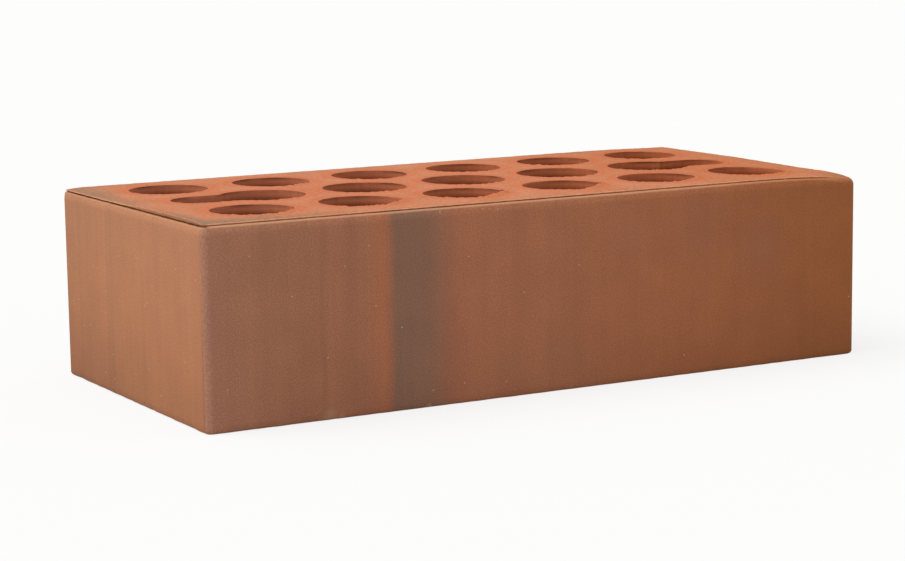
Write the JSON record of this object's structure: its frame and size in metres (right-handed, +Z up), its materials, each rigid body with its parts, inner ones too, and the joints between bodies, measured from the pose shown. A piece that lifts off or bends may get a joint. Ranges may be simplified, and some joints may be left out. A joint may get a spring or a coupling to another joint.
{
  "type": "clay brick",
  "caption": "Perforated clay facing brick: a fired block with rows of round holes through its bed, a keyhole at each end of the middle row and pressed upper edges.",
  "frame": {"origin": "middle of the lower bed, on the floor that the brick lies on", "axes": "+X along the stretcher face, +Y from the front stretcher to the back one, +Z up through the bed"},
  "size_m": [0.25, 0.12, 0.065],
  "materials": {
    "fired_clay": "extruded and wire-cut clay, fired, unglazed and matt, with flashing stains"
  },
  "bodies": {
    "root": {"brick": "fired_clay"}
  },
  "joints": []
}
